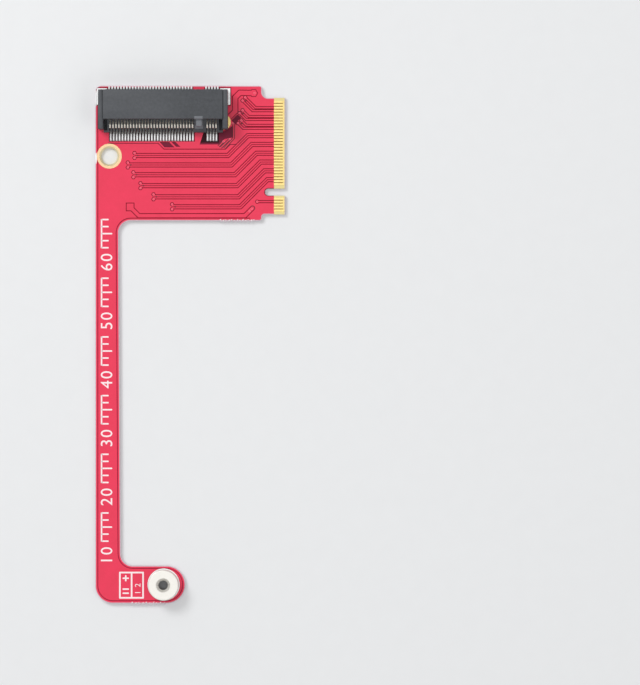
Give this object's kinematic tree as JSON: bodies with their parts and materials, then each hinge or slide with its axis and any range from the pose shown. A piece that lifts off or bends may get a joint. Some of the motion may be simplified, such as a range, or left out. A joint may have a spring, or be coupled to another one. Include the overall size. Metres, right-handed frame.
{
  "type": "solid-state drive extension adapter",
  "caption": "Thin red circuit board that takes a long gumstick drive at right angles to a short card slot, with keyed edge contacts, a card socket, a long arm and a threaded standoff.",
  "frame": {"origin": "axis of the mounting hole at the underside of the board", "axes": "+X towards the edge contacts, +Y towards the top edge of the head, +Z out of the front face; the arm runs towards -Y"},
  "size_m": [0.0324, 0.0884, 0.005],
  "materials": {
    "laminate": "bare glass laminate, matt",
    "red_mask": "red solder mask over copper, satin gloss",
    "gold_plating": "thin gold plating, satin",
    "solder_tin": "tinned, satin",
    "housing_plastic": "moulded black, fine matt grain",
    "contact_alloy": "gold flashed contact alloy",
    "tab_steel": "tinned sheet",
    "standoff_steel": "turned, bright nickel"
  },
  "bodies": {
    "root": {"circuit_board": "laminate", "front_circuit_layer": "red_mask", "back_circuit_layer": "red_mask", "mounting_hole_plating": "gold_plating", "large_peg_hole_plating": "gold_plating", "small_peg_hole_plating": "gold_plating", "standoff_hole_plating": "gold_plating", "front_edge_contacts_long": "gold_plating", "front_edge_contacts_short": "gold_plating", "back_edge_contacts_long": "gold_plating", "back_edge_contacts_short": "gold_plating", "rear_tail_pads": "solder_tin", "front_tail_pads": "solder_tin", "left_anchor_pad": "solder_tin", "right_anchor_pad": "solder_tin", "connector_housing": "housing_plastic", "upper_contacts_long": "contact_alloy", "upper_contacts_short": "contact_alloy", "lower_contacts_long": "contact_alloy", "lower_contacts_short": "contact_alloy", "left_hold_down": "tab_steel", "right_hold_down": "tab_steel", "threaded_standoff": "standoff_steel"}
  },
  "joints": []
}
